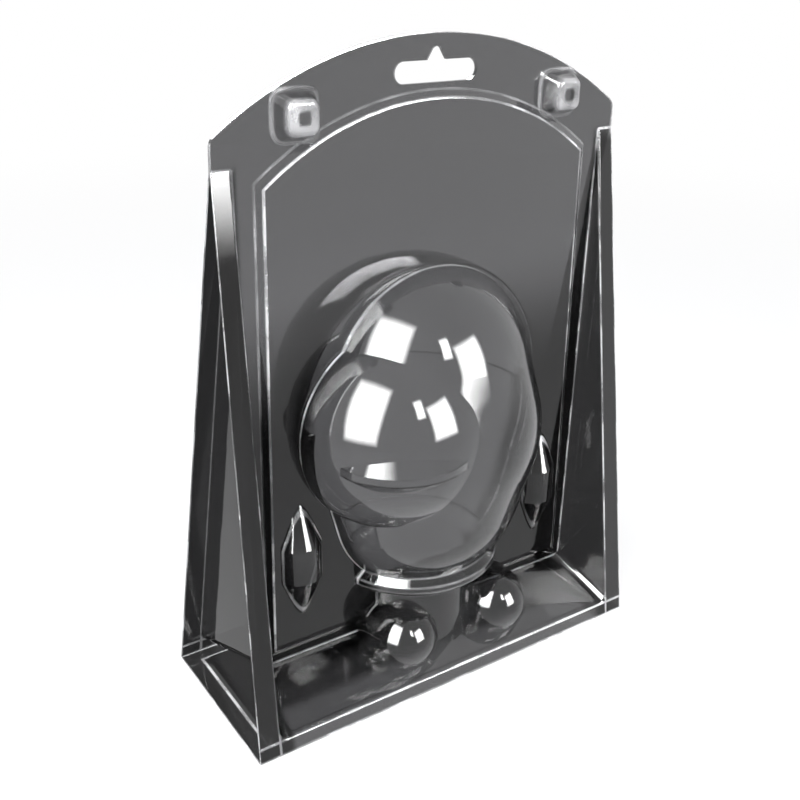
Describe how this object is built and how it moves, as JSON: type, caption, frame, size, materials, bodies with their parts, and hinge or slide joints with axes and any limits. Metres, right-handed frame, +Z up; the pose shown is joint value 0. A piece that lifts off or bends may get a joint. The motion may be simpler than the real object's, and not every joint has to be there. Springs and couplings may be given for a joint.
{
  "type": "clear tri-fold clamshell pack",
  "caption": "Clear self-standing tri-fold clamshell pack with an arched top, hang hole, snap buttons, recessed trays and a plain figure-shaped cavity.",
  "frame": {"origin": "middle of the pack's bounding box, on the plane that the base panel rests on", "axes": "+Z up, -Y towards the front shell and its snap buttons, X across the pack"},
  "size_m": [0.176, 0.1064, 0.2418],
  "materials": {
    "clear_sheet": "glossy clear sheet"
  },
  "bodies": {
    "base": {"base_panel": "clear_sheet"},
    "front": {"front_shell": "clear_sheet"},
    "back": {"back_shell": "clear_sheet"}
  },
  "joints": [
    {"name": "front_hinge", "type": "hinge", "parent": "base", "child": "front", "pos_m": [0, -0.03725, 0], "axis": [1, 0, 0], "range_deg": [0, 97.8]},
    {"name": "back_hinge", "type": "hinge", "parent": "base", "child": "back", "pos_m": [0, 0.03476, 0], "axis": [-1, 0, 0], "range_deg": [0, 102.1]}
  ]
}
